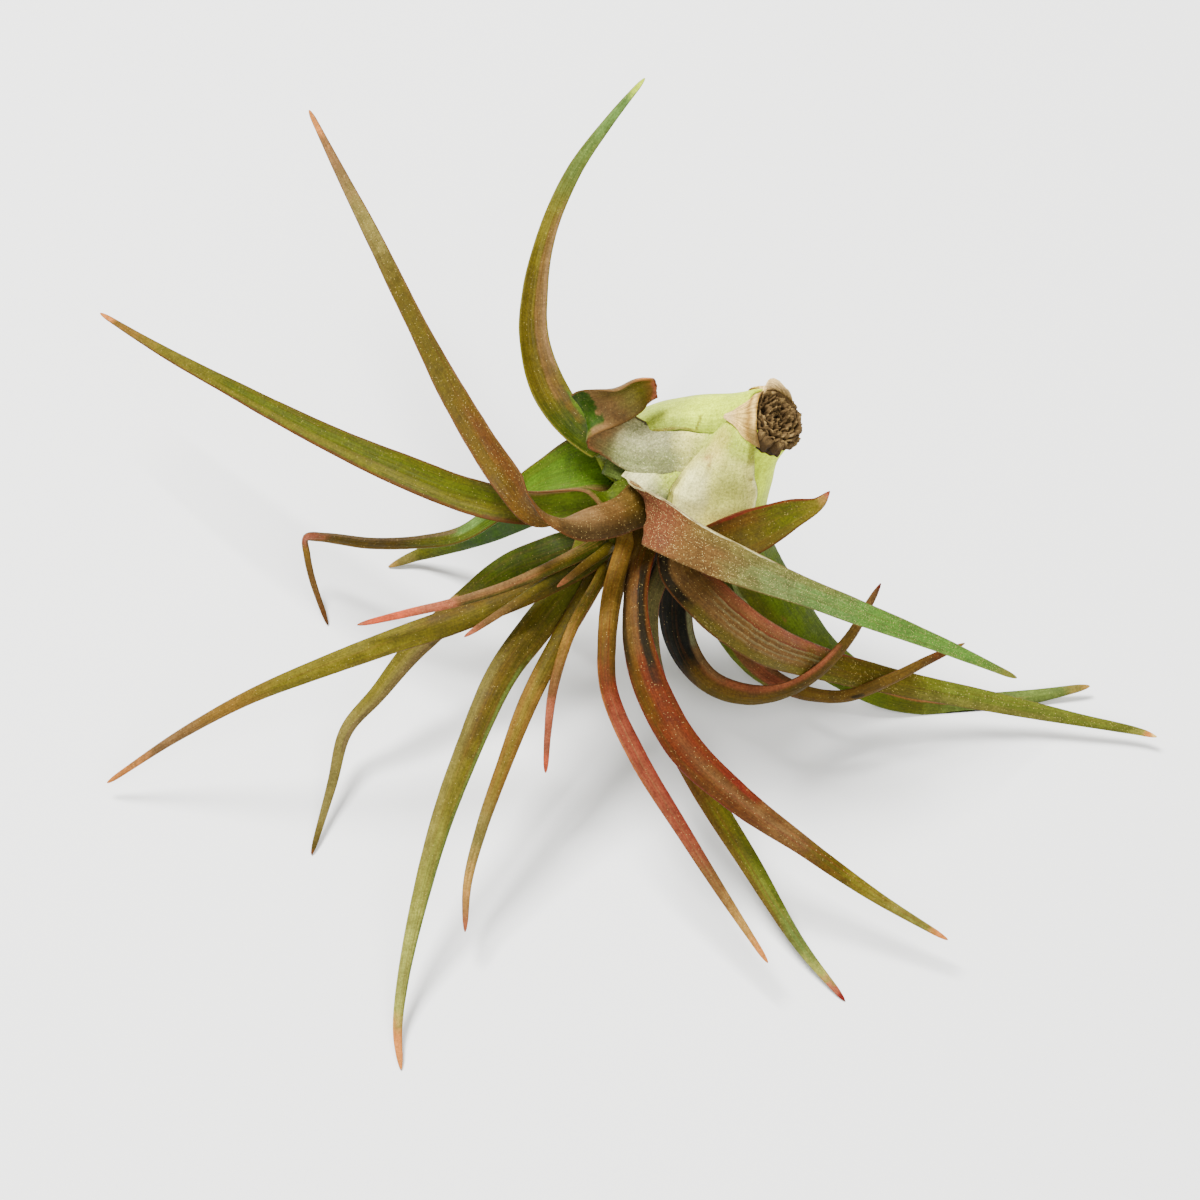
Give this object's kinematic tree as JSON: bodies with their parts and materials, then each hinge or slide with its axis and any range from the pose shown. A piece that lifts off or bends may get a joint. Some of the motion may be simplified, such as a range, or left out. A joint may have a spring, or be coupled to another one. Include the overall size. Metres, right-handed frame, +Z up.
{
  "type": "air plant",
  "caption": "Bare-root air plant lying crown down on its leaf tips, with long tapering leaves that spread from overlapping sheaths around a dry root stub.",
  "frame": {"origin": "on the surface that the plant lies on, under the middle of its outline", "axes": "+Z up from that surface, -Y towards the side that is seen in the picture, +X to that view's right"},
  "size_m": [0.209, 0.1922, 0.0764],
  "materials": {
    "stem": "smooth, pale green",
    "stub": "rough, dry, brown",
    "sheath": "satin, pale yellow-green with white scurf",
    "dry_scale": "dry, papery, tan",
    "leaf_olive": "satin, olive green with red-brown margins",
    "leaf_green": "satin, green with grey scurf",
    "leaf_brown": "satin, rosy brown and olive",
    "leaf_dark": "satin, dark olive brown",
    "leaf_red": "satin, red with silvery scurf",
    "leaf_scurfy": "matt, grey-brown under dense white scurf"
  },
  "bodies": {
    "root": {"stem": "stem", "root_stub": "stub", "sheath_top": "sheath", "leaf_01": "leaf_olive", "leaf_02": "leaf_brown", "leaf_03": "leaf_olive", "leaf_04": "leaf_scurfy", "leaf_05": "leaf_green", "leaf_06": "leaf_scurfy", "leaf_08": "leaf_green", "leaf_09": "leaf_scurfy", "leaf_10": "leaf_brown", "leaf_11": "leaf_green", "leaf_12": "leaf_dark", "leaf_13": "leaf_dark", "leaf_15": "leaf_red", "leaf_16": "leaf_red", "leaf_17": "leaf_dark", "leaf_18": "leaf_red", "leaf_19": "leaf_olive", "leaf_20": "leaf_olive", "leaf_21": "leaf_olive", "leaf_22": "leaf_olive", "leaf_23": "leaf_red", "leaf_24": "leaf_brown", "leaf_25": "leaf_brown", "dry_scale_left": "dry_scale", "dry_scale_top": "dry_scale"}
  },
  "joints": []
}
